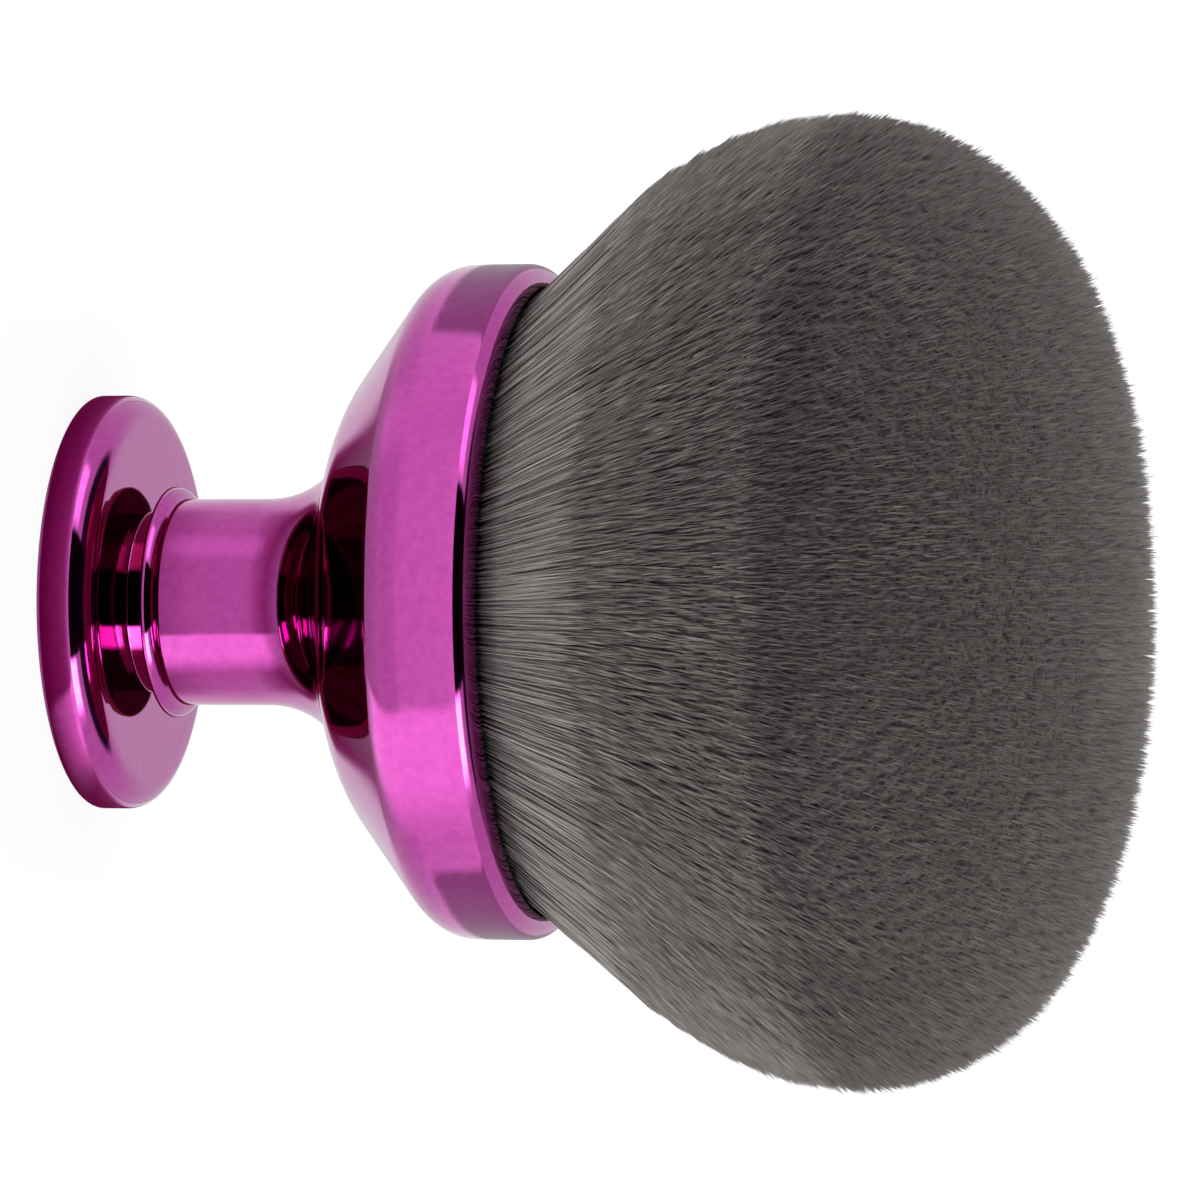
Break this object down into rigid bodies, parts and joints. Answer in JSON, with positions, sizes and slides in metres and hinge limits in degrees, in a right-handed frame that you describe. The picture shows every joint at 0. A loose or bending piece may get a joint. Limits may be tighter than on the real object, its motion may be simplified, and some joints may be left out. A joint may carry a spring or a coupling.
{
  "type": "body brush",
  "caption": "Large round body brush with a domed head of fine charcoal fibres in a flared, mirror-plated magenta bell on a short stem and palm disc.",
  "frame": {"origin": "centre of the flat face of the palm disc, on which the brush stands", "axes": "+Z along the brush's axis, from the palm disc to the fibre tips"},
  "size_m": [0.0808, 0.0808, 0.09],
  "materials": {
    "plated_handle": "vacuum metallised, mirror gloss, magenta lacquer",
    "brass_insert": "turned",
    "steel": "zinc plated",
    "cup_plastic": "moulded, semi-gloss black",
    "resin": "set epoxy",
    "fibre": "fine crimped fibre, charcoal grey"
  },
  "bodies": {
    "root": {"base_disc": "plated_handle", "stem": "plated_handle", "bell": "plated_handle", "foot_insert": "brass_insert", "stem_weight": "steel", "tie_screw": "steel", "screw_washer": "steel", "bristle_cup": "cup_plastic", "glue_bed": "resin", "bristles_core": "fibre", "bristles_middle": "fibre", "bristles_outer": "fibre"}
  },
  "joints": []
}
